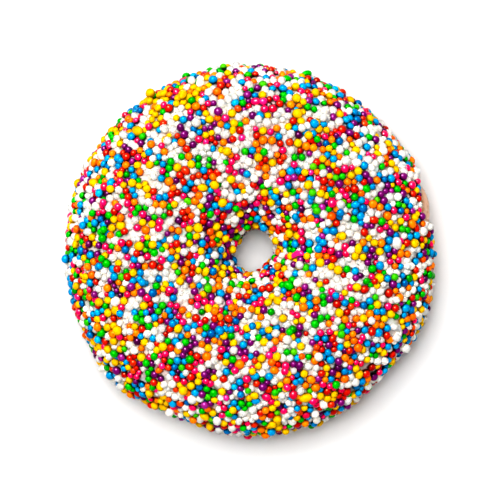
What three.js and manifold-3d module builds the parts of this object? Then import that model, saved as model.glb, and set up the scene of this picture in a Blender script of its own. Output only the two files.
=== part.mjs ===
// A ring doughnut of cake dough, about 86 mm across, coated in sugar icing and small round sugar beads.
//
// Millimetres, +Z up. The doughnut lies on the plane z = 0 with its iced side up. The origin is on that
// plane, on the axis of the ring. Two solids make it: the dough, which is one piece right through, and
// the icing, a coat that wraps the crown and the sides, with the beads fused to it.
//
// Two angles place every point of the ring. "around" turns about the hole from +X. "section" turns
// round the ring's cross-section: 0 is the outer side, a quarter turn the crown, half a turn the hole.

import * as THREE from "three";
import { mergeVertices } from "three/addons/utils/BufferGeometryUtils.js";
import Module from "manifold-3d";

const wasm = await Module();
wasm.setup();

const radians = THREE.MathUtils.degToRad;
const TURN = 2 * Math.PI;

// The dough ring's section.
const RING_RADIUS = 23.7; // from the axis of the hole to the middle of the section
const HALF_WIDTH = 16.9; // of the section, at the equator
const EQUATOR_HEIGHT = 12.6; // of the widest level above the table
const CROWN_RISE = 14.0; // from the equator up to the crown
const BELLY_DROP = 13.6; // from the equator down; the table flattens what would reach below it
const SHOULDER_POWER = 0.93; // 1 is an ellipse, and less fills its shoulders out

// Unevenness of the dough. Each swell is a soft bulge, or a dent where its height is negative, centred
// at an angle around the ring and fading out over its reach, in degrees.
const OUTLINE_SWELLS = [
  { at: 8, reach: 16, height: -0.65 },
  { at: 100, reach: 22, height: 0.35 },
  { at: 180, reach: 14, height: -0.4 },
  { at: 224, reach: 13, height: 1.05 },
  { at: 246, reach: 11, height: -1.15 },
  { at: 299, reach: 8, height: 0.35 },
  { at: 318, reach: 9, height: -0.6 },
  { at: 341, reach: 13, height: 1.2 },
];
const BARE_BULGE = { at: 16, reach: 12, height: 2.8 }; // low on the side, where no icing covers it
const HOLE_WAVES = [
  { count: 1, height: 1.1, crest: 0 },
  { count: 2, height: 0.5, crest: 48 },
];
const CROWN_WAVES = [
  { count: 2, height: 0.3, crest: 75 },
  { count: 5, height: 0.25, crest: 30 },
  { count: 9, height: 0.12, crest: 4 },
];

// The coat of icing, up to the middle of the beads that are packed into it.
const COAT_GAP = 0.3; // between the dough and the coat
const COAT_THICKNESS = 1.55;
const COAT_ROOT = 1; // how far it is drawn into the dough before the room for the dough is cut out
const LIP_SHARE = 0.09; // share of the coat's breadth over which each edge rounds off
const OUTER_EDGE = -24; // section angle of the edge low on the outer side, in degrees
const HOLE_EDGE = 200; // section angle of the edge inside the hole, in degrees
const EDGE_WAVES = [
  { count: 4, height: 4, crest: 100 },
  { count: 7, height: 3, crest: 250 },
];
const BARE_PATCH = { at: 16, reach: 15, height: 50 }; // where the outer edge stops short of the bulge

// The sugar beads.
const BEAD_RADIUS = 0.84;
const BEAD_RADIUS_SPREAD = 0.16; // largest change of the radius, as a share of it
const BEAD_STRETCH = 0.35; // how much longer than wide the longest beads are, as a share
const BEAD_SPACING = 6.2;
const BEAD_MARGIN = 0.04; // share of the coat's breadth that stays clear of beads at each edge
const BEAD_SCATTER = 0.3; // of the spacing, how far a bead strays from its place in the row
const BEAD_SEED = 7;

// Facets.
const RING_STEPS = 48;
const DOUGH_STEPS = 20;
const COAT_STEPS = 14; // from edge to edge, over the coat and again beneath it

const doughMaterial = new THREE.MeshStandardMaterial({ color: 0xc8935a, roughness: 0.85, metalness: 0 });
const icingMaterial = new THREE.MeshStandardMaterial({ color: 0xf0e4dd, roughness: 0.4, metalness: 0 });

// Sum of waves that run round the ring. The crest of each is at an angle in degrees.
function waves(list, around) {
  const wave = ({ count, height, crest }) => height * Math.cos(count * (around - radians(crest)));
  return list.reduce((sum, item) => sum + wave(item), 0);
}

// Sum of soft swells, each a bell shape about its own angle.
function swells(list, around) {
  const swell = ({ at, reach, height }) => {
    const away = THREE.MathUtils.euclideanModulo(around - radians(at) + Math.PI, TURN) - Math.PI;
    return height * Math.exp(-((away / radians(reach)) ** 2));
  };
  return list.reduce((sum, item) => sum + swell(item), 0);
}

// A power that keeps the sign of its base.
function signedPower(base, power) {
  return Math.sign(base) * Math.abs(base) ** power;
}

// The section's outward direction at a section angle, as (radial, up).
function sectionNormal(section) {
  const rise = Math.sin(section) > 0 ? CROWN_RISE : BELLY_DROP;
  const radial = rise * signedPower(Math.cos(section), 2 - SHOULDER_POWER);
  const up = HALF_WIDTH * signedPower(Math.sin(section), 2 - SHOULDER_POWER);
  return new THREE.Vector2(radial, up).normalize();
}

// A point at a distance off the dough's surface, which the table flattens underneath.
function ringPoint(around, section, distance) {
  const towardsOutside = (1 + Math.cos(section)) / 2;
  const lowOutside = Math.max(Math.cos(section), 0) ** 3;
  const upwards = Math.max(Math.sin(section), 0);
  const rise = Math.sin(section) > 0 ? CROWN_RISE : BELLY_DROP;
  const normal = sectionNormal(section);
  const radius =
    RING_RADIUS +
    HALF_WIDTH * signedPower(Math.cos(section), SHOULDER_POWER) +
    towardsOutside * swells(OUTLINE_SWELLS, around) +
    lowOutside * swells([BARE_BULGE], around) +
    (1 - towardsOutside) * waves(HOLE_WAVES, around) +
    distance * normal.x;
  const height =
    EQUATOR_HEIGHT +
    rise * signedPower(Math.sin(section), SHOULDER_POWER) +
    upwards * waves(CROWN_WAVES, around) +
    distance * normal.y;
  return new THREE.Vector3(radius * Math.cos(around), radius * Math.sin(around), Math.max(height, 0));
}

// The section angle at a share of the way across the coat, from its outer edge to its edge in the hole.
function coatSection(around, across) {
  const wander = waves(EDGE_WAVES, around);
  const outerEdge = OUTER_EDGE + wander + swells([BARE_PATCH], around);
  return radians(THREE.MathUtils.lerp(outerEdge, HOLE_EDGE + wander, across));
}

// A point of the coat's underside before the room for the dough is cut out of it.
function coatUnderside(around, across) {
  return ringPoint(around, coatSection(around, across), -COAT_ROOT);
}

// A point of the coat's outer face, which rounds down to the underside at both edges.
function coatFace(around, across) {
  const section = coatSection(around, across);
  const inFromEdge = Math.min(across, 1 - across, LIP_SHARE) / LIP_SHARE;
  const thickness = COAT_ROOT + COAT_GAP + COAT_THICKNESS;
  return ringPoint(around, section, thickness * Math.sqrt(1 - (1 - inFromEdge) ** 2) - COAT_ROOT);
}

// A point of the coat's outer face as its flat facets have it, where the beads sit.
function facetPoint(around, across) {
  const ring = (around / TURN) * RING_STEPS;
  const side = across * COAT_STEPS;
  const [i, j] = [Math.floor(ring), Math.floor(side)];
  const corner = (column, row) => coatFace((column / RING_STEPS) * TURN, row / COAT_STEPS);
  const near = corner(i, j).lerp(corner(i + 1, j), ring - i);
  const far = corner(i, j + 1).lerp(corner(i + 1, j + 1), ring - i);
  return near.lerp(far, side - j);
}

// A closed ring whose vertices are placed by a function of the angle around and the share of a full
// turn round the section.
function ringGeometry(sectionSteps, place) {
  const torus = new THREE.TorusGeometry(1, 0.5, sectionSteps, RING_STEPS);
  const { position, uv } = torus.attributes;
  for (let i = 0; i < position.count; i++) {
    const ring = Math.round(uv.getX(i) * RING_STEPS) % RING_STEPS;
    const side = Math.round(uv.getY(i) * sectionSteps) % sectionSteps;
    const point = place((ring / RING_STEPS) * TURN, side / sectionSteps);
    position.setXYZ(i, point.x, point.y, point.z);
  }
  torus.deleteAttribute("normal");
  torus.deleteAttribute("uv");
  return mergeVertices(torus);
}

// The dough, or the room that it takes up with a gap all round.
function doughGeometry(gap) {
  return ringGeometry(DOUGH_STEPS, (around, share) => ringPoint(around, share * TURN, gap));
}

// The first half of the turn runs over the coat, and the second half back beneath it.
function coatGeometry() {
  return ringGeometry(2 * COAT_STEPS, (around, share) =>
    share <= 0.5 ? coatFace(around, 2 * share) : coatUnderside(around, 2 - 2 * share),
  );
}

// Random numbers from 0 to 1 that are the same on every run.
function seededRandom(seed) {
  let state = seed;
  return () => {
    state = (state * 1664525 + 1013904223) % 4294967296;
    return state / 4294967296;
  };
}

// Places for the beads: rows round the ring, one spacing apart, each row a spacing between its beads.
function beadPlaces(random) {
  const breadth = radians(HOLE_EDGE - OUTER_EDGE) * ((HALF_WIDTH + CROWN_RISE) / 2 + COAT_THICKNESS);
  const rows = Math.floor(breadth / BEAD_SPACING);
  const share = (row) => THREE.MathUtils.lerp(BEAD_MARGIN, 1 - BEAD_MARGIN, row / rows);
  const stray = () => BEAD_SCATTER * (2 * random() - 1);
  const places = [];
  for (let row = 0.5; row < rows; row++) {
    const count = Math.round((TURN * facetPoint(0, share(row)).x) / BEAD_SPACING);
    for (let bead = 0; bead < count; bead++) {
      const across = share(row + stray());
      const around = ((bead + row / 2 + stray()) / count) * TURN;
      places.push({ around, across });
    }
  }
  return places;
}

// One bead: few-sided, of its own size, a little longer than wide, and turned at random.
function beadGeometry({ around, across }, random) {
  const radius = BEAD_RADIUS * (1 + BEAD_RADIUS_SPREAD * (2 * random() - 1));
  const middle = facetPoint(around, across);
  const turn = new THREE.Euler(TURN * random(), TURN * random(), TURN * random());
  const stretch = 1 + BEAD_STRETCH * random() ** 4;
  const bead = new THREE.IcosahedronGeometry(radius);
  bead.scale(1, 1, stretch);
  bead.applyMatrix4(new THREE.Matrix4().makeRotationFromEuler(turn));
  bead.translate(middle.x, middle.y, middle.z);
  return bead;
}

function toSolid(geometry) {
  const bare = new THREE.BufferGeometry().setAttribute("position", geometry.getAttribute("position"));
  bare.setIndex(geometry.index);
  const merged = mergeVertices(bare);
  return new wasm.Manifold(
    new wasm.Mesh({
      numProp: 3,
      vertProperties: merged.attributes.position.array,
      triVerts: new Uint32Array(merged.index.array),
    }),
  );
}

function toGeometry(solid) {
  const { vertProperties, triVerts } = solid.getMesh();
  const geometry = new THREE.BufferGeometry();
  geometry.setAttribute("position", new THREE.BufferAttribute(vertProperties, 3));
  geometry.setIndex(new THREE.BufferAttribute(triVerts, 1));
  geometry.computeVertexNormals();
  return geometry;
}

// The coat with its beads joined on as one solid, hollowed out for the dough.
function icingGeometry() {
  const random = seededRandom(BEAD_SEED);
  const beads = beadPlaces(random).map((place) => toSolid(beadGeometry(place, random)));
  const coat = beads.reduce((joined, bead) => joined.add(bead), toSolid(coatGeometry()));
  return toGeometry(coat.subtract(toSolid(doughGeometry(COAT_GAP))));
}

const dough = new THREE.Mesh(doughGeometry(0), doughMaterial);
dough.name = "dough";

const icing = new THREE.Mesh(icingGeometry(), icingMaterial);
icing.name = "icing";

const doughnut = new THREE.Group();
doughnut.add(dough, icing);

export default doughnut;
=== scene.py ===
"""A ring doughnut of cake dough under icing and sugar beads, seen from straight above.

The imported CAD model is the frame. The dough piece stands for its node "dough". The icing skin and
the sugar beads stand for its node "icing". Everything is in metres, in the CAD's frame.

Two angles place a point of the ring. "around" turns about the hole from +X. "section" turns round
the ring's cross-section: 0 is the outer side, a quarter turn the crown, half a turn the hole.
"""

from __future__ import annotations

import logging
import math
from collections.abc import Callable
from dataclasses import dataclass, field
from enum import Enum

import bmesh
import bpy
import numpy as np
from mathutils import Matrix, Vector
from mathutils.kdtree import KDTree

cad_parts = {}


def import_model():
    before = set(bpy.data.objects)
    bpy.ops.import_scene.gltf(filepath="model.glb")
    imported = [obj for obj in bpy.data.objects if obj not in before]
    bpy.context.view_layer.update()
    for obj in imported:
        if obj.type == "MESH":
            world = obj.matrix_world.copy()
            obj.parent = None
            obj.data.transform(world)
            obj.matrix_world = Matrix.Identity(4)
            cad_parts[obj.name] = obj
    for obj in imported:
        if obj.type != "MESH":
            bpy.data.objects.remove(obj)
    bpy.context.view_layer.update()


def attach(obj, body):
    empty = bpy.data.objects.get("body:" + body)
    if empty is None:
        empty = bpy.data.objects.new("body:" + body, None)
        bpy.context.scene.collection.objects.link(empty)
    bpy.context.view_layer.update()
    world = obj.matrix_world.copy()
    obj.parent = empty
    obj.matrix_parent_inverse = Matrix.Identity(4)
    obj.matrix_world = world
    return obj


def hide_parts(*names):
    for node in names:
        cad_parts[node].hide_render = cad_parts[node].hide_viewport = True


LOG = logging.getLogger("doughnut")
MM = 0.001
TAU = math.tau
# Breaks light a little less than sugar does, for the photograph's matt look.
MATT_IOR = 1.3
# One pixel of the photograph, on the doughnut.
PIXEL = 0.2314 * MM
TINY = 1e-9
BODY = "root"

Array = np.ndarray
Colour = tuple[float, float, float]
Range = tuple[float, float]
Piece = bpy.types.Object
# Points, and what is stored for them by name.
Placed = tuple[Array, dict[str, Array]]


def srgb(red: int, green: int, blue: int) -> Colour:
    """Turns a display colour, each channel from 0 to 255, into a linear one."""

    def linear(channel: int) -> float:
        """Undoes the display curve of one channel."""
        share = channel / 255
        return share / 12.92 if share <= 0.04045 else ((share + 0.055) / 1.055) ** 2.4

    return linear(red), linear(green), linear(blue)


def smoothstep(low: float, high: float, value: Array) -> Array:
    """Rises softly from 0 at low to 1 at high."""
    share = np.clip((value - low) / (high - low), 0.0, 1.0)
    return share * share * (3 - 2 * share)


# Form of the ring


@dataclass(frozen=True)
class Swell:
    """A soft bulge of the outline, or a dent where its height is negative.

    The angles are in degrees, and the height is in the unit of what it swells.
    """

    at: float
    reach: float
    height: float

    def at_angle(self, around: Array) -> Array:
        """The swell's height at angles around the ring, in radians."""
        away = np.mod(around - math.radians(self.at) + math.pi, TAU) - math.pi
        return self.height * np.exp(-((away / math.radians(self.reach)) ** 2))


@dataclass(frozen=True)
class Wave:
    """A wave that runs round the ring, with one crest at an angle in degrees."""

    count: int
    height: float
    crest: float

    def at_angle(self, around: Array) -> Array:
        """The wave's height at angles around the ring, in radians."""
        return self.height * np.cos(self.count * (around - math.radians(self.crest)))


def total(items: tuple[Swell | Wave, ...], around: Array) -> Array:
    """Sum of swells or waves at angles around the ring."""
    return sum((item.at_angle(around) for item in items), np.zeros_like(around))


def signed_power(base: Array, power: float) -> Array:
    """A power that keeps the sign of its base."""
    return np.sign(base) * np.abs(base) ** power


@dataclass(frozen=True)
class Lumps:
    """Soft random lumps in space, as a sum of plane waves in random directions."""

    size: float
    height: float
    seed: int
    count: int = 24
    variety: Range = (0.6, 1.4)

    def at(self, points: Array) -> Array:
        """The lumps' height at points, about as often below 0 as above it."""
        draw = np.random.default_rng(self.seed)
        waves = draw.normal(size=(self.count, 3))
        waves *= TAU / self.size / np.linalg.norm(waves, axis=1)[:, None]
        waves *= draw.uniform(*self.variety, self.count)[:, None]
        starts = draw.uniform(0, TAU, self.count)
        swing = np.cos(points @ waves.T + starts).sum(1)
        return self.height * swing / math.sqrt(self.count / 2)


@dataclass(frozen=True)
class RingForm:
    """The form of the dough ring, the same as the CAD's."""

    ring_radius: float = 23.7 * MM
    half_width: float = 16.9 * MM
    equator_height: float = 12.6 * MM
    crown_rise: float = 14.0 * MM
    belly_drop: float = 13.6 * MM
    shoulder_power: float = 0.93
    outline_swells: tuple[Swell, ...] = (
        Swell(8, 16, -0.65 * MM),
        Swell(100, 22, 0.35 * MM),
        Swell(180, 14, -0.4 * MM),
        Swell(224, 13, 1.05 * MM),
        Swell(246, 11, -1.15 * MM),
        Swell(299, 8, 0.35 * MM),
        Swell(318, 9, -0.6 * MM),
        Swell(341, 13, 1.2 * MM),
    )
    bare_bulge: Swell = Swell(16, 12, 2.8 * MM)
    hole_waves: tuple[Wave, ...] = (Wave(1, 1.1 * MM, 0), Wave(2, 0.5 * MM, 48))
    crown_waves: tuple[Wave, ...] = (
        Wave(2, 0.3 * MM, 75),
        Wave(5, 0.25 * MM, 30),
        Wave(9, 0.12 * MM, 4),
    )

    def rise(self, section: Array) -> Array:
        """How far the section reaches from the equator, up or down."""
        return np.where(np.sin(section) > 0, self.crown_rise, self.belly_drop)

    def outward(self, section: Array) -> tuple[Array, Array]:
        """The radial and the upward part of the direction out of the surface."""
        power = 2 - self.shoulder_power
        radial = self.rise(section) * signed_power(np.cos(section), power)
        upward = self.half_width * signed_power(np.sin(section), power)
        length = np.hypot(radial, upward)
        return radial / length, upward / length

    def point(self, around: Array, section: Array, distance: Array) -> Array:
        """Points at a distance off the dough's surface, flattened by the table.

        Args:
            around: Angles round the hole.
            section: Angles round the section.
            distance: Distances out of the surface.

        Returns:
            One row of x, y and z for each point.
        """
        towards_outside = (1 + np.cos(section)) / 2
        low_outside = np.maximum(np.cos(section), 0) ** 3
        upwards = np.maximum(np.sin(section), 0)
        radial, upward = self.outward(section)
        radius = (
            self.ring_radius
            + self.half_width * signed_power(np.cos(section), self.shoulder_power)
            + towards_outside * total(self.outline_swells, around)
            + low_outside * self.bare_bulge.at_angle(around)
            + (1 - towards_outside) * total(self.hole_waves, around)
            + distance * radial
        )
        height = (
            self.equator_height
            + self.rise(section) * signed_power(np.sin(section), self.shoulder_power)
            + upwards * total(self.crown_waves, around)
            + distance * upward
        )
        return np.column_stack(
            (radius * np.cos(around), radius * np.sin(around), np.maximum(height, 0))
        )

    def directions(self, around: Array, section: Array) -> tuple[Array, Array, Array]:
        """Unit directions out of the surface, round the hole and round the section."""
        radial, upward = self.outward(section)
        cosine, sine = np.cos(around), np.sin(around)
        out = np.column_stack((radial * cosine, radial * sine, upward))
        ring = np.column_stack((-sine, cosine, np.zeros_like(sine)))
        across = np.column_stack((-upward * cosine, -upward * sine, radial))
        return out, ring, across


@dataclass(frozen=True)
class CoatForm:
    """The coat of icing on the ring: where it ends and how thick it is."""

    ring: RingForm = RingForm()
    gap: float = 0.3 * MM
    thickness: float = 0.4 * MM
    lip: float = 0.8 * MM
    outer_edge: float = -24.0
    hole_edge: float = 200.0
    edge_waves: tuple[Wave, ...] = (Wave(4, 4, 100), Wave(7, 3, 250))
    bare_patch: Swell = Swell(16, 15, 50)
    bare_ripples: tuple[Wave, ...] = (
        Wave(29, 0.05, 110),
        Wave(53, 0.035, 10),
        Wave(89, 0.02, 5),
    )
    edge_ripples: tuple[Wave, ...] = (Wave(17, 0.9, 10), Wave(29, 0.6, 3), Wave(43, 0.4, 5))
    pools: Lumps = Lumps(8 * MM, 1.0, 8)
    pool_shore: float = 0.6
    pool_middle: float = 1.7
    pool_depth: float = 0.42 * MM

    def edges(self, around: Array) -> tuple[Array, Array]:
        """Section angles of the outer edge and of the edge in the hole, in radians."""
        wander = total(self.edge_waves, around) + total(self.edge_ripples, around)
        bare = self.bare_patch.at_angle(around) * (1 + total(self.bare_ripples, around))
        outer = self.outer_edge + wander + bare
        return np.radians(outer), np.radians(self.hole_edge + wander)

    def lift(self, around: Array, section: Array) -> Array:
        """Distance of the icing's face from the dough, which rounds down at the edges."""
        outer, hole = self.edges(around)
        reach = np.minimum(section - outer, hole - section) * self.ring.half_width
        inward = np.clip(reach / self.lip, 0.0, 1.0)
        return self.gap + self.thickness * np.sqrt(1 - (1 - inward) ** 2)

    def pooled(self, points: Array) -> Array:
        """How far the icing has pooled among the beads, from 0 to 1."""
        return smoothstep(self.pool_shore, self.pool_middle, self.pools.at(points))


def spun_ring(
    name: str, ring_steps: int, section_steps: int, place: Callable[[Array, Array], Placed]
) -> Piece:
    """Spins a circle into a closed ring and moves its vertices to where a form has them.

    Args:
        name: Name of the piece.
        ring_steps: Steps round the hole.
        section_steps: Steps round the section.
        place: Gives the points for angles around and shares of a turn round the section.

    Returns:
        The new object, shaded smooth.
    """
    bm = bmesh.new()
    tilt = Matrix.Translation((1, 0, 0)) @ Matrix.Rotation(math.pi / 2, 4, "X")
    bmesh.ops.create_circle(bm, segments=section_steps, radius=0.5, matrix=tilt)
    whole = [*bm.verts, *bm.edges]
    turn = {"cent": (0, 0, 0), "axis": (0, 0, 1), "angle": TAU, "steps": ring_steps}
    bmesh.ops.spin(bm, geom=whole, use_merge=True, **turn)
    bmesh.ops.recalc_face_normals(bm, faces=bm.faces)
    mesh = bpy.data.meshes.new(name)
    bm.to_mesh(mesh)
    bm.free()
    flat = np.zeros(len(mesh.vertices) * 3)
    mesh.vertices.foreach_get("co", flat)
    x, y, z = flat.reshape(-1, 3).T
    around = np.arctan2(y, x)
    share = np.mod(np.arctan2(z, np.hypot(x, y) - 1) / TAU, 1.0)
    nearly_whole = 1 - 0.1 / section_steps
    share[share > nearly_whole] = 0.0
    points, stored = place(around, share)
    mesh.vertices.foreach_set("co", points.ravel())
    for key, values in stored.items():
        give(mesh, key, values)
    return shown(mesh)


def shown(mesh: bpy.types.Mesh) -> Piece:
    """Puts a finished mesh into the scene, shaded smooth."""
    mesh.update()
    mesh.shade_smooth()
    piece = bpy.data.objects.new(mesh.name, mesh)
    bpy.context.scene.collection.objects.link(piece)
    return piece


def give(mesh: bpy.types.Mesh, name: str, values: Array) -> None:
    """Stores a number, or a row of red, green and blue, for each vertex of a mesh."""
    if values.ndim == 1:
        attribute = mesh.attributes.new(name, "FLOAT", "POINT")
        attribute.data.foreach_set("value", values.astype(np.float32))
        return
    opaque = np.column_stack((values, np.ones(len(values))))
    attribute = mesh.attributes.new(name, "FLOAT_COLOR", "POINT")
    attribute.data.foreach_set("color", opaque.astype(np.float32).ravel())


def finder(places: Array) -> KDTree:
    """A tree that finds the nearest of many places."""
    tree = KDTree(len(places))
    for index, place in enumerate(places):
        tree.insert(place, index)
    tree.balance()
    return tree


# Materials


class Strand:
    """A number in a material, so that sums on sockets read as Python."""

    def __init__(self, sheet: Sheet, socket: bpy.types.NodeSocket) -> None:
        """Keeps the material and the socket that carries the number."""
        self.sheet = sheet
        self.socket = socket

    def math(self, operation: str, *values: Strand | float) -> Strand:
        """Adds a Math node, with the values in its sockets in order."""
        settings = {"operation": operation}
        return self.sheet.node("ShaderNodeMath", settings, dict(enumerate(values)))

    def __add__(self, other: Strand | float) -> Strand:
        """Adds."""
        return self.math("ADD", self, other)

    __radd__ = __add__

    def __mul__(self, other: Strand | float) -> Strand:
        """Multiplies."""
        return self.math("MULTIPLY", self, other)

    def __sub__(self, other: Strand | float) -> Strand:
        """Takes the other away from this."""
        return self.math("SUBTRACT", self, other)

    def __rsub__(self, other: Strand | float) -> Strand:
        """Takes this away from the other."""
        return self.math("SUBTRACT", other, self)

    def between(self, low: float, high: float) -> Strand:
        """Rises softly from 0 at low to 1 at high."""
        settings = {"interpolation_type": "SMOOTHSTEP"}
        inputs = {"Value": self, "From Min": low, "From Max": high}
        return self.sheet.node("ShaderNodeMapRange", settings, inputs)


class Sheet:
    """One material, built node by node around a Principled shader."""

    def __init__(self, name: str) -> None:
        """Makes an empty material with one Principled shader."""
        self.material = bpy.data.materials.new(name)
        self.material.use_nodes = True
        self.tree = self.material.node_tree
        self.shader = self.tree.nodes["Principled BSDF"]

    def node(
        self,
        kind: str,
        settings: dict[str, object] | None = None,
        inputs: dict[str | int, object] | None = None,
        output: str | int = 0,
    ) -> Strand:
        """Adds a node.

        Args:
            kind: The node's type.
            settings: Its properties, set before its sockets are read.
            inputs: Values or links for its sockets, by name or number.
            output: The socket that carries its result.

        Returns:
            The result.
        """
        made = self.tree.nodes.new(kind)
        for name, value in (settings or {}).items():
            setattr(made, name, value)
        for key, value in (inputs or {}).items():
            self.feed(made.inputs[key], value)
        return Strand(self, made.outputs[output])

    def feed(self, socket: bpy.types.NodeSocket, value: object) -> None:
        """Links a result to a socket, or sets the socket's own value."""
        if isinstance(value, Strand):
            self.tree.links.new(value.socket, socket)
        elif isinstance(value, tuple) and socket.type == "RGBA":
            socket.default_value = (*value, 1.0)
        else:
            socket.default_value = value

    def finish(self, **values: object) -> bpy.types.Material:
        """Feeds the Principled shader, with an underscore for each space in a socket's name."""
        for name, value in values.items():
            self.feed(self.shader.inputs[name.replace("_", " ")], value)
        return self.material

    def mix(self, share: Strand | float, first: object, second: object) -> Strand:
        """Mixes two colours, from the first at 0 to the second at 1."""
        settings = {"data_type": "RGBA"}
        return self.node("ShaderNodeMix", settings, {0: share, 6: first, 7: second}, 2)

    def stored(self, name: str, output: str = "Fac") -> Strand:
        """A number or a colour that is stored on the mesh."""
        return self.node("ShaderNodeAttribute", {"attribute_name": name}, output=output)

    def grain(self, size: float, detail: float = 2.0, roughness: float = 0.5) -> Strand:
        """Soft noise from 0 to 1, its lumps a size in metres and some finer layers in them."""
        place = self.node("ShaderNodeTexCoord", output="Object")
        inputs = {"Vector": place, "Scale": 1 / size, "Detail": detail, "Roughness": roughness}
        return self.node("ShaderNodeTexNoise", inputs=inputs)

    def relief(self, height: Strand, depth: float) -> Strand:
        """A bumped normal from a height of 0 to 1 over a depth in metres."""
        return self.node("ShaderNodeBump", inputs={"Height": height, "Distance": depth})


@dataclass(frozen=True)
class CrustFinish:
    """Fried cake dough: golden brown, paler in a band round the widest part."""

    pale: Colour = srgb(250, 206, 176)
    crumb: Colour = srgb(252, 226, 204)
    golden: Colour = srgb(206, 145, 84)
    brown: Colour = srgb(158, 92, 42)
    dark: Colour = srgb(106, 56, 26)
    broad_size: float = 9 * MM
    patch_size: float = 2.4 * MM
    streak_size: float = 1.1 * MM
    fine_size: float = 0.5 * MM
    bump_depth: float = 0.25 * MM

    def material(self) -> bpy.types.Material:
        """Mixes the crust's colours by height, hollows and grain."""
        sheet = Sheet("crust")
        broad = sheet.grain(self.broad_size, 3.0)
        patchy = sheet.grain(self.patch_size, 4.0, 0.65)
        streaks = sheet.grain(self.streak_size, 3.0, 0.6)
        fine = sheet.grain(self.fine_size, 4.0, 0.7)
        band = sheet.stored("band") + (broad - 0.5) * 0.7 + (patchy - 0.5) * 0.5
        hollow = sheet.stored("hollow")
        browned = (broad + (patchy - 0.5) * 0.9).between(0.3, 0.75)
        colour = sheet.mix(browned, self.golden, self.brown)
        colour = sheet.mix(band.between(0.3, 0.9), colour, self.pale)
        colour = sheet.mix(patchy.between(0.5, 0.7) * 0.4, colour, self.golden)
        colour = sheet.mix(streaks.between(0.52, 0.7) * 0.5, colour, self.crumb)
        colour = sheet.mix(fine.between(0.62, 0.8) * 0.45, colour, self.dark)
        colour = sheet.mix(hollow * 0.55, colour, self.pale)
        return sheet.finish(
            Base_Color=colour,
            Roughness=0.5 + patchy * 0.3,
            Normal=sheet.relief(fine * 0.5 + patchy * 0.5, self.bump_depth),
            IOR=MATT_IOR,
            Subsurface_Weight=0.08,
            Subsurface_Radius=(1.0, 0.5, 0.25),
            Subsurface_Scale=1.2 * MM,
        )


@dataclass(frozen=True)
class IcingFinish:
    """Set sugar icing: off-white, a little translucent, tinted where dye has bled into it, with
    painted shade in the gaps by coloured beads and painted light in those among white ones.
    """

    white: Colour = srgb(202, 196, 189)
    pink: Colour = srgb(211, 181, 184)
    mint: Colour = srgb(165, 193, 197)
    wash: float = 0.6
    tint: float = 0.35
    wash_size: float = 3.5 * MM
    fine_size: float = 0.6 * MM
    bump_depth: float = 0.08 * MM

    def material(self) -> bpy.types.Material:
        """Mixes the icing's white with the dye of the beads around, and with painted shade in the
        gaps beside them.
        """
        sheet = Sheet("icing")
        broad = sheet.grain(self.wash_size)
        fine = sheet.grain(self.fine_size, 3.0)
        colour = sheet.mix(broad.between(0.5, 0.68) * self.wash, self.white, self.pink)
        colour = sheet.mix((1 - broad).between(0.5, 0.68) * self.wash, colour, self.mint)
        near = sheet.stored("near")
        colour = sheet.mix(near * self.tint, colour, sheet.stored("dye", "Color"))
        # Painted shade near the beads: the dark low colour of coloured beads, a pale one among
        # white beads.
        seam = (near + (fine - 0.5) * 0.3).between(0.4, 0.85)
        colour = sheet.mix(seam, colour, sheet.stored("seam", "Color"))
        return sheet.finish(
            Base_Color=colour,
            Roughness=0.36 + fine * 0.2,
            Normal=sheet.relief(fine, self.bump_depth),
            IOR=MATT_IOR,
            Specular_IOR_Level=0.2,
            Subsurface_Weight=0.25,
            Subsurface_Radius=(1.0, 0.7, 0.6),
            Subsurface_Scale=0.8 * MM,
        )


@dataclass(frozen=True)
class BeadFinish:
    """Dyed sugar: a colour that varies from bead to bead, with painted shade that darkens it low
    down, where it meets the icing and its neighbours.
    """

    deep: Colour
    main: Colour
    light: Colour
    gloss: Colour
    specular: float = 0.6
    roughness: float = 0.28
    # How dark and how much redder the painted shade low on a bead is; 0 leaves the deep colour
    # there.
    soaking: float = 0.93
    reddening: float = 0.2
    softness: float = 0.0
    mottle_size: float = 0.35 * MM
    bump_depth: float = 0.012 * MM

    @property
    def steeped(self) -> Colour:
        """The colour of the painted shade low on a bead: its deep colour darkened and reddened."""
        red, green, blue = self.deep
        left = 1 - self.soaking
        redder = 1 - self.reddening * self.soaking
        return red * left, green * left * redder, blue * left * redder**2

    def material(self, name: str) -> bpy.types.Material:
        """Mixes the bead's colour from its own random tone and a fine mottle, with painted shade
        low down.
        """
        sheet = Sheet(name)
        shade = sheet.stored("shade")
        mottle = sheet.grain(self.mottle_size, 3.0, 0.6)
        tone = shade + (mottle - 0.5) * 0.35
        colour = sheet.mix(tone.between(0.0, 0.5), self.deep, self.main)
        colour = sheet.mix(tone.between(0.6, 1.05), colour, self.light)
        # Painted shade: darker towards the bottom of the bead, where it sits in the icing among its
        # neighbours.
        mottled_shade_height = sheet.stored("seat") + (mottle - 0.5) * 0.3
        colour = sheet.mix(mottled_shade_height.between(-0.1, 0.7), self.steeped, colour)
        return sheet.finish(
            Base_Color=colour,
            Roughness=self.roughness + (mottle - 0.5) * 0.15,
            Normal=sheet.relief(mottle, self.bump_depth),
            IOR=MATT_IOR,
            Specular_IOR_Level=self.specular,
            Specular_Tint=self.gloss,
            Subsurface_Weight=self.softness,
            Subsurface_Radius=(1.0, 0.95, 0.85),
            Subsurface_Scale=0.5 * MM,
        )


@dataclass(frozen=True)
class Gathering:
    """A place seen from above, in millimetres, where a kind lies thicker, or thinner below 0."""

    x: float
    y: float
    reach: float
    gain: float

    def factor(self, places: Array) -> Array:
        """What the kind's share is multiplied by at each place."""
        away = np.hypot(places[:, 0] - self.x * MM, places[:, 1] - self.y * MM)
        away /= self.reach * MM
        return np.exp(self.gain * np.exp(-(away**2)))


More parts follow.
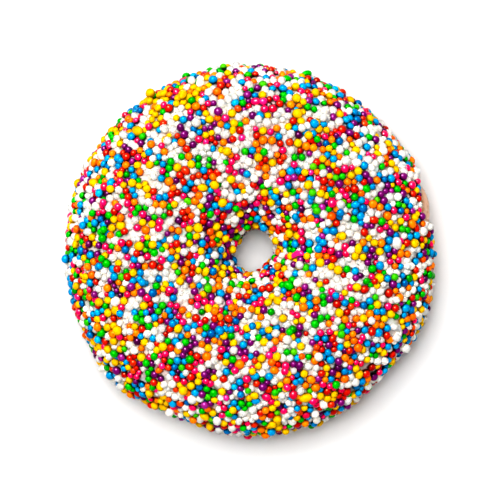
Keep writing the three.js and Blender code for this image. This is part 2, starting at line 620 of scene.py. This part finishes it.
class BeadKind(Enum):
    """The kinds of sugar bead: slot, share of all, size against the mean, finish, gatherings.

    White ones are paler low down: painted light, for light that comes through them and the icing
    around.
    """

    # White beads' deep colour is paler than their main one and is not darkened, so it is painted
    # light low on them.
    WHITE = "beads_white", 0.257, 1.04, BeadFinish(
        deep=srgb(243, 237, 226), main=srgb(211, 209, 204), light=srgb(216, 215, 210),
        gloss=(1.0, 1.0, 1.0), specular=0.15, roughness=0.4, soaking=0.0, softness=0.85,
    ), (
        Gathering(-9.5, 1, 6, -1.4), Gathering(-6, 8, 5, -0.8), Gathering(0, -10.5, 6, 0.6),
        Gathering(2, 36, 11, 0.4), Gathering(17, -8, 8, 0.35), Gathering(-15, -34, 14, -0.4),
        Gathering(22, -17, 5, -0.9), Gathering(32, -5, 4, 0.6),
    )
    RED = "beads_red", 0.1, 1.0, BeadFinish(
        deep=srgb(172, 2, 0), main=srgb(208, 26, 4), light=srgb(240, 92, 10),
        gloss=(1.0, 0.5, 0.25), specular=0.7, roughness=0.31,
    )
    ORANGE = "beads_orange", 0.088, 1.03, BeadFinish(
        deep=srgb(240, 86, 0), main=srgb(252, 133, 0), light=srgb(252, 158, 4),
        gloss=(1.0, 0.6, 0.15), specular=0.4, roughness=0.38, soaking=0.72,
    ), (Gathering(2.5, 22, 5, 0.9),)
    YELLOW = "beads_yellow", 0.125, 1.06, BeadFinish(
        deep=srgb(228, 174, 0), main=srgb(240, 191, 0), light=srgb(242, 187, 0),
        gloss=(1.0, 0.85, 0.1), specular=0.14, roughness=0.42, soaking=0.62,
    ), (
        Gathering(-9, 5, 5, 0.6), Gathering(-19, 35.5, 7, 1.2), Gathering(-35, -21, 5, 0.9),
    )
    GREEN = "beads_green", 0.109, 0.99, BeadFinish(
        deep=srgb(0, 132, 8), main=srgb(0, 183, 13), light=srgb(110, 196, 8),
        gloss=(0.12, 1.0, 0.06),
    ), (
        Gathering(-40.5, 1.5, 5, 1.1), Gathering(-11.4, -39.5, 5, 1.1),
        Gathering(22.5, -26.5, 7, -1.2),
    )
    BLUE = "beads_blue", 0.125, 1.01, BeadFinish(
        deep=srgb(0, 96, 162), main=srgb(0, 151, 207), light=srgb(0, 181, 230),
        gloss=(0.05, 0.9, 1.0), specular=0.42,
    ), (Gathering(36.5, -17.5, 7, 1.2),)
    PURPLE = "beads_purple", 0.103, 0.96, BeadFinish(
        deep=srgb(68, 0, 60), main=srgb(121, 8, 107), light=srgb(174, 42, 148),
        gloss=(1.0, 0.42, 0.85), specular=0.65, roughness=0.3,
    ), (
        Gathering(-6.2, -3, 2.6, 1.6), Gathering(0.5, 8.5, 2.6, 1.6),
        Gathering(-11.5, -25, 6, 1.0), Gathering(-7.7, 27.8, 5, 1.1),
    )
    PINK = "beads_pink", 0.105, 0.96, BeadFinish(
        deep=srgb(214, 0, 52), main=srgb(250, 0, 99), light=srgb(251, 40, 146),
        gloss=(1.0, 0.75, 0.8), specular=0.75, roughness=0.31,
    ), (Gathering(9, 26, 2.6, 1.8),)

    def __init__(
        self,
        slot: str,
        share: float,
        size: float,
        finish: BeadFinish,
        gatherings: tuple[Gathering, ...] = (),
    ) -> None:
        """Spreads the member's values over named attributes."""
        self.slot = slot
        self.share, self.size = share, size
        self.finish = finish
        self.gatherings = gatherings


# The dough


@dataclass
class Dough:
    """The dough ring, with the lumps, pits and cracks of a fried crust."""

    coat: CoatForm
    ring_steps: int = 440
    section_steps: int = 180
    lumps: Lumps = Lumps(8 * MM, 0.14 * MM, 1)
    wrinkles: Lumps = Lumps(2.2 * MM, 0.06 * MM, 2, 40)
    veins: Lumps = Lumps(7 * MM, 1.0, 3)
    crack_places: Lumps = Lumps(14 * MM, 1.0, 4)
    crack_width: float = 0.12
    crack_depth: float = 0.5 * MM
    bare_start: float = 0.2 * MM
    bare_full: float = 2.5 * MM
    band_reach: float = 0.42

    def relief(self, around: Array, section: Array) -> tuple[Array, Array]:
        """The relief's height, and how deep in a crack each place is, from 0 to 1."""
        points = self.coat.ring.point(around, section, np.zeros_like(around))
        height = self.lumps.at(points) + self.wrinkles.at(points)
        near_vein = 1 - np.clip(np.abs(self.veins.at(points)) / self.crack_width, 0, 1)
        cracked = smoothstep(0.0, 1.0, self.crack_places.at(points))
        bareness = self.bareness(around, section)
        hollow = near_vein * cracked * bareness
        height = height - self.crack_depth * hollow
        return np.where(bareness <= 0, np.minimum(height, 0), height), hollow

    def bareness(self, around: Array, section: Array) -> Array:
        """How clear of the icing a place is, from 0 under it to 1 well outside it."""
        outer, hole = self.coat.edges(around)
        turned = np.mod(section + math.pi / 2, TAU) - math.pi / 2
        outside = np.maximum(outer - turned, turned - hole) * self.coat.ring.half_width
        return smoothstep(self.bare_start, self.bare_full, outside)

    def build(self) -> Piece:
        """Builds and dresses the dough."""

        def place(around: Array, share: Array) -> Placed:
            """Moves the ring's vertices onto the crust."""
            section = share * TAU
            height, hollow = self.relief(around, section)
            turned = np.mod(section + math.pi, TAU) - math.pi
            band = np.exp(-((turned / self.band_reach) ** 2))
            return self.coat.ring.point(around, section, height), {"hollow": hollow, "band": band}

        piece = spun_ring("dough_crust", self.ring_steps, self.section_steps, place)
        piece.data.materials.append(CrustFinish().material())
        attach(piece, BODY)
        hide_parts("dough")
        return piece


# The sugar beads


@dataclass(frozen=True)
class SugarRod:
    """One short bent rod of pink sugar that lies among the beads beside the hole."""

    x: float = 11.1 * MM
    y: float = -0.7 * MM
    turn: float = 15.0
    length: float = 3.0 * MM
    radius: float = 0.66 * MM
    bend: float = 0.2 * MM
    lift: float = 2.35 * MM
    beads: int = 4

    def line(self) -> Array:
        """Places along the middle of the rod, as seen from above."""
        along = np.linspace(-1, 1, self.beads) * (self.length / 2 - self.radius)
        turn = math.radians(self.turn)
        return np.column_stack(
            (self.x + along * math.cos(turn), self.y + along * math.sin(turn))
        )


@dataclass
class BeadBed:
    """The places of the sugar beads, packed by letting a loose layer settle on the icing."""

    coat: CoatForm
    count: int = 4950
    profile_steps: int = 400
    layer_middle: float = 1.8 * MM
    section_scatter: float = 0.03
    around_scatter: float = 0.02
    start_lift: Range = (0.5, 1.8)
    mean_radius: float = 0.86 * MM
    spread: float = 0.125
    size_limits: Range = (0.74, 1.3)
    sink: float = 0.72
    sink_spread: float = 0.14
    steps: int = 110
    dropping_share: float = 0.8
    refresh: int = 8
    touch_reach: float = 2.7
    push_share: float = 0.45
    settle: float = 0.03 * MM
    firmness: float = 0.97
    soft_share: float = 0.16
    soft_firmness: float = 0.84
    edge_margin: float = 0.5 * MM
    bare_margin: Swell = Swell(20, 26, 1.5 * MM)
    wall_height: float = 0.6
    crown_height: float = 1.4
    bare_hold: Swell = Swell(17, 21, 0.85)
    hold_range: Range = (0.4, 1.4)
    pool_thinning: float = 0.12
    pool_white: float = 0.8
    copy_chance: float = 0.16
    strips: int = 36
    rod: SugarRod = SugarRod()
    seed: int = 11

    draw: np.random.Generator = field(init=False)
    around: Array = field(init=False)
    section: Array = field(init=False)
    lift: Array = field(init=False)
    radius: Array = field(init=False)
    rest: Array = field(init=False)
    core: Array = field(init=False)
    hold: Array = field(init=False)
    kind: Array = field(init=False)
    pinned: Array = field(init=False)

    def scatter(self) -> None:
        """Spreads the beads evenly over the coat, on a spiral of golden turns."""
        ring = self.coat.ring
        golden = TAU * (1 - 2 / (1 + math.sqrt(5)))
        self.around = np.mod(np.arange(self.count) * golden, TAU)
        ends = self.coat.outer_edge, self.coat.hole_edge
        levels = np.radians(np.linspace(*ends, self.profile_steps))
        middle = np.full_like(levels, self.layer_middle)
        profile = ring.point(np.zeros_like(levels), levels, middle)
        widths = np.linalg.norm(np.diff(profile, axis=0), axis=1)
        strips = widths * (profile[1:, 0] + profile[:-1, 0])
        shares = np.concatenate(([0.0], np.cumsum(strips))) / strips.sum()
        even = (np.arange(self.count) + 0.5) / self.count
        across = np.interp(even, shares, np.linspace(0, 1, self.profile_steps))
        outer, hole = self.coat.edges(self.around)
        self.section = outer + (hole - outer) * across
        self.section += self.draw.normal(0, self.section_scatter, self.count)
        self.around += self.draw.normal(0, self.around_scatter, self.count)
        raised = self.draw.uniform(*self.start_lift, self.count) * MM
        self.lift = self.coat.gap + self.coat.thickness + raised

    def deal_colours(self) -> None:
        """Deals the colours out evenly by their shares, strip by strip across the ring."""
        places = self.places()
        kinds = list(BeadKind)
        shares = np.tile([kind.share for kind in kinds], (self.count, 1))
        for index, kind in enumerate(kinds):
            for gathering in kind.gatherings:
                shares[:, index] *= gathering.factor(places)
        whiter = np.exp(self.pool_white * self.coat.pooled(places))
        shares[:, kinds.index(BeadKind.WHITE)] *= whiter
        shares /= shares.sum(axis=1, keepdims=True)
        strip = (self.around / TAU * self.strips).astype(int)
        self.kind = np.zeros(self.count, int)
        owed = np.zeros(len(kinds))
        for bead in np.lexsort((self.section * (1 - 2 * (strip % 2)), strip)):
            owed += shares[bead]
            chance = np.cumsum(np.maximum(owed, 0) ** 2)
            dealt = int(np.searchsorted(chance, self.draw.random() * chance[-1]))
            self.kind[bead] = dealt
            owed[dealt] -= 1

    def size_up(self) -> None:
        """Lets some beads copy a neighbour's colour, and gives each its size and its seat."""
        draw = self.draw
        first, second = self.neighbours()
        copied = draw.random(len(first)) < self.copy_chance
        self.kind[second[copied]] = self.kind[first[copied]]
        sizes = np.array([kind.size for kind in BeadKind])
        spread = np.clip(draw.normal(1, self.spread, self.count), *self.size_limits)
        self.radius = self.mean_radius * sizes[self.kind] * spread
        self.rest = self.radius * draw.normal(self.sink, self.sink_spread, self.count)
        soft = draw.random(self.count) < self.soft_share
        self.core = self.radius * np.where(soft, self.soft_firmness, self.firmness)
        self.hold = draw.uniform(*self.hold_range, self.count)
        self.pinned = np.zeros(self.count, bool)

    def pin_rod(self) -> None:
        """Puts a row of beads that nothing moves where the rod lies, to keep its room."""
        rod, ring = self.rod, self.coat.ring
        line = rod.line()
        around = np.arctan2(line[:, 1], line[:, 0])
        levels = np.linspace(math.pi / 2, math.pi, self.profile_steps // 2)
        lift = np.full_like(levels, rod.lift)
        section = []
        for turn, reach in zip(around, np.hypot(*line.T)):
            profile = ring.point(np.full_like(levels, turn), levels, lift)
            spread = np.hypot(profile[:, 0], profile[:, 1])
            section.append(np.interp(-reach, -spread, levels))
        added = {"around": around, "section": section, "lift": rod.lift, "radius": rod.radius}
        added |= {"rest": 0.0, "core": rod.radius, "hold": 1.0, "pinned": True}
        added["kind"] = list(BeadKind).index(BeadKind.PINK)
        for name, value in added.items():
            values = np.broadcast_to(value, rod.beads)
            setattr(self, name, np.concatenate((getattr(self, name), values)))
        self.count += rod.beads

    def places(self) -> Array:
        """The beads' middles."""
        return self.coat.ring.point(self.around, self.section, self.lift)

    def neighbours(self) -> tuple[Array, Array]:
        """Pairs of beads that are close enough to touch soon."""
        places = self.places()
        tree = finder(places)
        reach = self.touch_reach * self.mean_radius
        pairs = [
            (index, other)
            for index, place in enumerate(places)
            for _, other, _ in tree.find_range(place, reach)
            if other > index
        ]
        first, second = np.array(pairs).T
        return first, second

    def relax(self, pull: float, first: Array, second: Array) -> None:
        """Draws the beads towards the icing by one step and pushes apart those that overlap.

        Args:
            pull: How far each bead sinks.
            first: One bead of each close pair.
            second: The other bead of each close pair.
        """
        places = self.places()
        apart = places[second] - places[first]
        distance = np.linalg.norm(apart, axis=1)
        wanted = self.core[first] + self.core[second]
        overlap = np.maximum(wanted - distance, 0)
        push = overlap * self.push_share / np.maximum(distance, TINY)
        step = apart * push[:, None]
        move = np.zeros_like(places)
        for axis in range(3):
            move[:, axis] -= np.bincount(first, step[:, axis], self.count)
            move[:, axis] += np.bincount(second, step[:, axis], self.count)
        held = self.around[self.pinned], self.section[self.pinned], self.lift[self.pinned]
        out, ring, across = self.coat.ring.directions(self.around, self.section)
        self.around += (move * ring).sum(1) / np.hypot(places[:, 0], places[:, 1])
        self.section += (move * across).sum(1) / (self.coat.ring.half_width + self.lift)
        self.lift += (move * out).sum(1) - pull
        outer, hole = self.coat.edges(self.around)
        width = self.coat.ring.half_width
        inset = (self.edge_margin + self.bare_margin.at_angle(self.around)) / width
        self.section = np.clip(self.section, outer + inset, hole - self.edge_margin / width)
        self.lift = np.maximum(self.lift, self.coat.lift(self.around, self.section) + self.rest)
        self.around[self.pinned], self.section[self.pinned], self.lift[self.pinned] = held

    def height(self) -> Array:
        """How far each bead is above its place on the icing, over its radius."""
        rest = self.coat.lift(self.around, self.section) + self.rest
        return (self.lift - rest) / self.radius

    def drop_loose(self) -> None:
        """Takes away the beads that lie too high to stick, and some where the icing has pooled."""
        _, upward = self.coat.ring.outward(self.section)
        limit = self.wall_height + (self.crown_height - self.wall_height) * np.maximum(upward, 0)
        outside = np.cos(self.section) > 0
        limit = limit * (1 - self.bare_hold.at_angle(self.around) * outside)
        thinned = self.pool_thinning * self.coat.pooled(self.places())
        kept = (self.height() < limit * self.hold) & (self.draw.random(self.count) > thinned)
        kept |= self.pinned
        names = "around", "section", "lift", "radius", "rest", "core", "hold", "kind", "pinned"
        for name in names:
            setattr(self, name, getattr(self, name)[kept])
        self.count = int(kept.sum())

    def pack(self) -> None:
        """Scatters the beads, gives them sizes and colours, and lets them settle."""
        self.draw = np.random.default_rng(self.seed)
        self.scatter()
        self.deal_colours()
        self.size_up()
        self.pin_rod()
        dropping = int(self.steps * self.dropping_share) // self.refresh * self.refresh
        for step in range(self.steps):
            if step == dropping:
                self.drop_loose()
            if step % self.refresh == 0:
                first, second = self.neighbours()
            self.relax(self.settle if step < dropping else 0.0, first, second)


@dataclass
class SugarBeads:
    """The sugar beads as one piece for each colour."""

    bed: BeadBed
    unevenness: float = 0.045
    stretched_share: float = 0.08
    stretch_range: Range = (1.1, 1.4)
    shade_mean: float = 0.5
    shade_spread: float = 0.2
    # How much a bead standing high above the icing lessens its painted shade.
    exposure: float = 0.3
    rod_steps: tuple[int, int] = (20, 14)
    seed: int = 23

    def frames(self, draw: np.random.Generator, count: int) -> Array:
        """Random turns, spread evenly over all directions, as a 3 by 3 matrix for each."""
        w, x, y, z = draw.normal(size=(count, 4)).T
        length = np.sqrt(w * w + x * x + y * y + z * z)
        w, x, y, z = w / length, x / length, y / length, z / length
        rows = [
            [1 - 2 * (y * y + z * z), 2 * (x * y - z * w), 2 * (x * z + y * w)],
            [2 * (x * y + z * w), 1 - 2 * (x * x + z * z), 2 * (y * z - x * w)],
            [2 * (x * z - y * w), 2 * (y * z + x * w), 1 - 2 * (x * x + y * y)],
        ]
        return np.array(rows).transpose(2, 0, 1)

    def pattern(self) -> tuple[Array, Array]:
        """One round bead of unit radius, as its vertices and triangles."""
        bm = bmesh.new()
        bmesh.ops.create_icosphere(bm, subdivisions=2, radius=1.0)
        vertices = np.array([vertex.co[:] for vertex in bm.verts])
        faces = np.array([[vertex.index for vertex in face.verts] for face in bm.faces])
        bm.free()
        return vertices, faces

    def build(self) -> list[Piece]:
        """Builds and dresses the beads of each colour."""
        draw = np.random.default_rng(self.seed)
        count = self.bed.count
        turns = self.frames(draw, count)
        stretch = draw.normal(1, self.unevenness, (count, 3))
        long = draw.random(count) < self.stretched_share
        stretch[long, 2] *= draw.uniform(*self.stretch_range, int(long.sum()))
        shade = draw.normal(self.shade_mean, self.shade_spread, count)
        places = self.bed.places()
        out, _, _ = self.bed.coat.ring.directions(self.bed.around, self.bed.section)
        vertices, faces = self.pattern()
        pieces = []
        for index, kind in enumerate(BeadKind):
            mine = np.flatnonzero((self.bed.kind == index) & ~self.bed.pinned)
            scale = self.bed.radius[mine, None] * stretch[mine]
            shaped = np.einsum("nij,nvj->nvi", turns[mine], vertices[None] * scale[:, None])
            shaped += places[mine, None]
            # Painted shade height: how far each vertex faces out of the ring, raised for beads that
            # stand high.
            seat = np.einsum("nij,vj,ni->nv", turns[mine], vertices, out[mine])
            seat += self.exposure * self.bed.height()[mine, None]
            mesh = self.joined(kind.slot, shaped, faces)
            mesh.materials.append(kind.finish.material(kind.slot))
            tone = np.repeat(shade[mine], len(vertices))
            pieces.append(self.dress(mesh, tone, seat.ravel()))
            if kind is BeadKind.PINK:
                rod, seat = self.rod()
                rod.materials.append(mesh.materials[0])
                pieces.append(self.dress(rod, np.ones_like(seat), seat))
        return pieces

    def joined(self, name: str, shaped: Array, faces: Array) -> bpy.types.Mesh:
        """Joins beads, shaped and in place and with the same faces each, into one mesh."""
        beads, corners = shaped.shape[:2]
        offsets = np.arange(beads)[:, None, None] * corners
        mesh = bpy.data.meshes.new(name)
        mesh.from_pydata(shaped.reshape(-1, 3), [], (faces[None] + offsets).reshape(-1, 3))
        return mesh

    def rod(self) -> tuple[bpy.types.Mesh, Array]:
        """Shapes the sugar rod: a ball drawn out to a capsule, bent, and laid in its room.

        Returns:
            The mesh, and how far up the rod each vertex is, from 0 at the icing to 2, which sets
            its painted shade.
        """
        form = self.bed.rod
        held = np.flatnonzero(self.bed.pinned)
        ends = self.bed.places()[held[[0, -1]]]
        place = self.bed.around[held], self.bed.section[held]
        outward, _, _ = self.bed.coat.ring.directions(*place)
        length = np.linalg.norm(ends[1] - ends[0])
        along = (ends[1] - ends[0]) / length
        side = np.cross(outward.mean(0), along)
        side /= np.linalg.norm(side)
        up = np.cross(along, side)
        bm = bmesh.new()
        u_steps, v_steps = self.rod_steps
        bmesh.ops.create_uvsphere(bm, u_segments=u_steps, v_segments=v_steps, radius=form.radius)
        straight = length / 2
        near_middle = 0.01 * form.radius
        for vertex in bm.verts:
            x, y, z = vertex.co
            z += math.copysign(straight, z) if abs(z) > near_middle else 0.0
            vertex.co = (x, y + form.bend * (1 - (z / straight) ** 2), z)
        # Height on the rod for its painted shade, from 0 at the icing to 2.
        seat = np.array([vertex.co.x / form.radius for vertex in bm.verts]) + 1.0
        turned = Matrix([[*row] for row in np.column_stack((up, side, along))]).to_4x4()
        bmesh.ops.transform(bm, matrix=Matrix.Translation(ends.mean(0)) @ turned, verts=bm.verts)
        bmesh.ops.recalc_face_normals(bm, faces=bm.faces)
        mesh = bpy.data.meshes.new("sugar_rod")
        bm.to_mesh(mesh)
        bm.free()
        return mesh, seat

    def dress(self, mesh: bpy.types.Mesh, shade: Array, seat: Array) -> Piece:
        """Shows a mesh of one colour and makes it part of the icing.

        Args:
            mesh: The mesh, with its material.
            shade: The tone of each vertex, from 0 to 1.
            seat: How far up the bead each vertex is, from -1 at the icing to 1 or more; it sets the
                painted shade.

        Returns:
            The piece.
        """
        give(mesh, "shade", shade)
        give(mesh, "seat", seat)
        piece = shown(mesh)
        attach(piece, BODY)
        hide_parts("icing")
        return piece


# The icing


@dataclass
class Icing:
    """The skin of icing between the dough and the beads."""

    coat: CoatForm
    bed: BeadBed
    ring_steps: int = 480
    section_steps: int = 200
    outer_share: float = 0.86
    base_depth: float = 0.1 * MM
    meniscus: float = 0.22 * MM
    meniscus_reach: float = 0.3 * MM
    white_depth: float = 0.3 * MM
    dye_reach: float = 0.4 * MM
    nearest: int = 3
    among_whites: Range = (0.5, 1.0)
    edge_crowding: float = 0.35
    # Painted light for the gaps among white beads, in place of the shade that falls there.
    pale_seam: Colour = srgb(210, 201, 191)

    def dye(self, points: Array) -> tuple[Array, Array, dict[str, Array]]:
        """How the nearest beads raise and tint the icing, and the painted shade in the gaps beside
        them.

        Args:
            points: Places on the icing.

        Returns:
            The climb of the icing up the beads, how far it lies among white ones, from 0 to 1,
            and the dye's colours, the painted shade colours of the gaps and the dye's closeness.
        """
        tree = finder(self.bed.places())
        found = [tree.find_n(point, self.nearest) for point in points]
        hits = np.array([[hit[1:] for hit in nearest] for nearest in found])
        index = hits[:, :, 0].astype(int)
        clear = np.maximum(hits[:, :, 1] - self.bed.radius[index], 0)
        weight = np.exp(-clear / self.dye_reach)[:, :, None]
        share = weight / weight.sum(axis=1, keepdims=True)
        kind = self.bed.kind[index]
        pale = list(BeadKind).index(BeadKind.WHITE)
        dyes = np.array([bead.finish.main for bead in BeadKind])
        # Painted shade for the gaps: each bead's dark low colour, and painted light among white
        # beads.
        painted_gap_tones = np.array([bead.finish.steeped for bead in BeadKind])
        painted_gap_tones[pale] = self.pale_seam
        dressed = {
            "dye": (dyes[kind] * share).sum(axis=1),
            "seam": (painted_gap_tones[kind] * share).sum(axis=1),
            "near": np.exp(-clear[:, 0] / self.dye_reach),
        }
        climb = np.exp(-((clear[:, 0] / self.meniscus_reach) ** 2))
        return climb, smoothstep(*self.among_whites, (kind == pale).mean(axis=1)), dressed

    def build(self) -> Piece:
        """Builds and dresses the icing."""
        coat, point = self.coat, self.coat.ring.point

        def place(around: Array, share: Array) -> Placed:
            """Moves the ring's vertices over the coat and back beneath it."""
            over = share <= self.outer_share
            back = (1 - share) / (1 - self.outer_share)
            across = np.where(over, share / self.outer_share, back)
            eased = across - self.edge_crowding * np.sin(TAU * across) / TAU
            outer, hole = coat.edges(around)
            section = outer + (hole - outer) * eased
            lift = np.where(over, coat.lift(around, section), coat.gap)
            covered = smoothstep(0.0, 1.0, (lift - coat.gap) / coat.thickness) * over
            pool = coat.pool_depth * coat.pooled(point(around, section, lift))
            lift = lift + covered * (self.base_depth + pool)
            climb, whiteness, dressed = self.dye(point(around, section, lift))
            raised = np.maximum(self.white_depth * whiteness - pool, 0)
            lift = lift + covered * (raised + self.meniscus * climb)
            return point(around, section, lift), dressed

        piece = spun_ring("icing_skin", self.ring_steps, self.section_steps, place)
        piece.data.materials.append(IcingFinish().material())
        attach(piece, BODY)
        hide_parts("icing")
        return piece


# Floor, light and camera


@dataclass(frozen=True)
class Lamp:
    """A round soft light, at an angle round the object and an angle from straight above.

    A lamp that isn't glossy leaves no highlight, and one that isn't diffuse leaves nothing else.
    """

    name: str
    azimuth: float
    zenith: float
    distance: float
    size: float
    energy: float
    glossy: bool = True
    diffuse: bool = True

    def hang(self) -> None:
        """Hangs the lamp, turned towards the object."""
        azimuth, zenith = math.radians(self.azimuth), math.radians(self.zenith)
        x, y = math.cos(azimuth) * math.sin(zenith), math.sin(azimuth) * math.sin(zenith)
        direction = Vector((x, y, math.cos(zenith)))
        data = bpy.data.lights.new(self.name, "AREA")
        data.shape = "DISK"
        data.size = self.size
        data.energy = self.energy
        lamp = bpy.data.objects.new(self.name, data)
        lamp.location = direction * self.distance
        lamp.rotation_euler = direction.to_track_quat("Z", "Y").to_euler()
        lamp.visible_glossy = self.glossy
        lamp.visible_diffuse = self.diffuse
        bpy.context.scene.collection.objects.link(lamp)


@dataclass
class Studio:
    """A pale floor, three lamps, a faint sky and a camera straight above.

    A wide soft lamp hangs nearly overhead, and a small one straight above reaches into the hole.
    The key lamp at the upper left only gives the highlights.
    """

    floor_size: float = 6.0
    floor_white: float = 0.76
    sky: float = 0.02
    sky_colour: Colour = (0.8, 0.95, 1.1)
    lamps: tuple[Lamp, ...] = (
        Lamp("key", 118, 37, 1.3, 0.44, 100.0, diffuse=False),
        Lamp("overhead", 124, 14.0, 1.6, 1.26, 28.6, glossy=False),
        Lamp("top", 124, 4.0, 1.6, 0.4, 5.6, glossy=False),
    )
    camera_height: float = 0.9
    sensor_width: float = 36.0
    clip: Range = (0.01, 20.0)
    view_width: float = 500 * PIXEL
    focus_height: float = 12.6 * MM
    shift: Range = (0.9 * PIXEL, 1.0 * PIXEL)

    def floor(self) -> None:
        """Lays a plain pale floor."""
        bm = bmesh.new()
        bmesh.ops.create_grid(bm, x_segments=1, y_segments=1, size=self.floor_size / 2)
        mesh = bpy.data.meshes.new("floor")
        bm.to_mesh(mesh)
        bm.free()
        floor = shown(mesh)
        white = (self.floor_white,) * 3
        matt = Sheet("floor").finish(Base_Color=white, Roughness=0.9, Specular_IOR_Level=0.0)
        mesh.materials.append(matt)

    def light(self) -> None:
        """Hangs the lamps and sets an even, faintly blue sky."""
        for lamp in self.lamps:
            lamp.hang()
        world = bpy.data.worlds.new("sky")
        world.use_nodes = True
        background = world.node_tree.nodes["Background"]
        background.inputs["Color"].default_value = (*self.sky_colour, 1.0)
        background.inputs["Strength"].default_value = self.sky
        bpy.context.scene.world = world
        bpy.context.scene.view_settings.view_transform = "Standard"
        bpy.context.scene.view_settings.look = "High Contrast"

    def camera(self) -> None:
        """Sets the camera straight above, framed as the photograph is."""
        data = bpy.data.cameras.new("camera")
        data.sensor_width = self.sensor_width
        distance = self.camera_height - self.focus_height
        data.lens = self.sensor_width * distance / self.view_width
        data.clip_start, data.clip_end = self.clip
        camera = bpy.data.objects.new("camera", data)
        camera.location = (*self.shift, self.camera_height)
        bpy.context.scene.collection.objects.link(camera)
        bpy.context.scene.camera = camera

    def build(self) -> None:
        """Sets up the floor, the light and the camera."""
        self.floor()
        self.light()
        self.camera()


def main() -> None:
    """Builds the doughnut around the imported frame, piece by piece."""
    logging.basicConfig(level=logging.INFO, format="%(relativeCreated)d ms: %(message)s")
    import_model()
    coat = CoatForm()
    dough = Dough(coat).build()
    LOG.info("%s: %d vertices", dough.name, len(dough.data.vertices))
    bed = BeadBed(coat)
    bed.pack()
    LOG.info("%d beads packed", bed.count)
    for piece in SugarBeads(bed).build():
        LOG.info("%s: %d faces", piece.name, len(piece.data.polygons))
    icing = Icing(coat, bed).build()
    LOG.info("%s: %d vertices", icing.name, len(icing.data.vertices))
    Studio().build()
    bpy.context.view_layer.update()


if __name__ == "__main__":
    main()
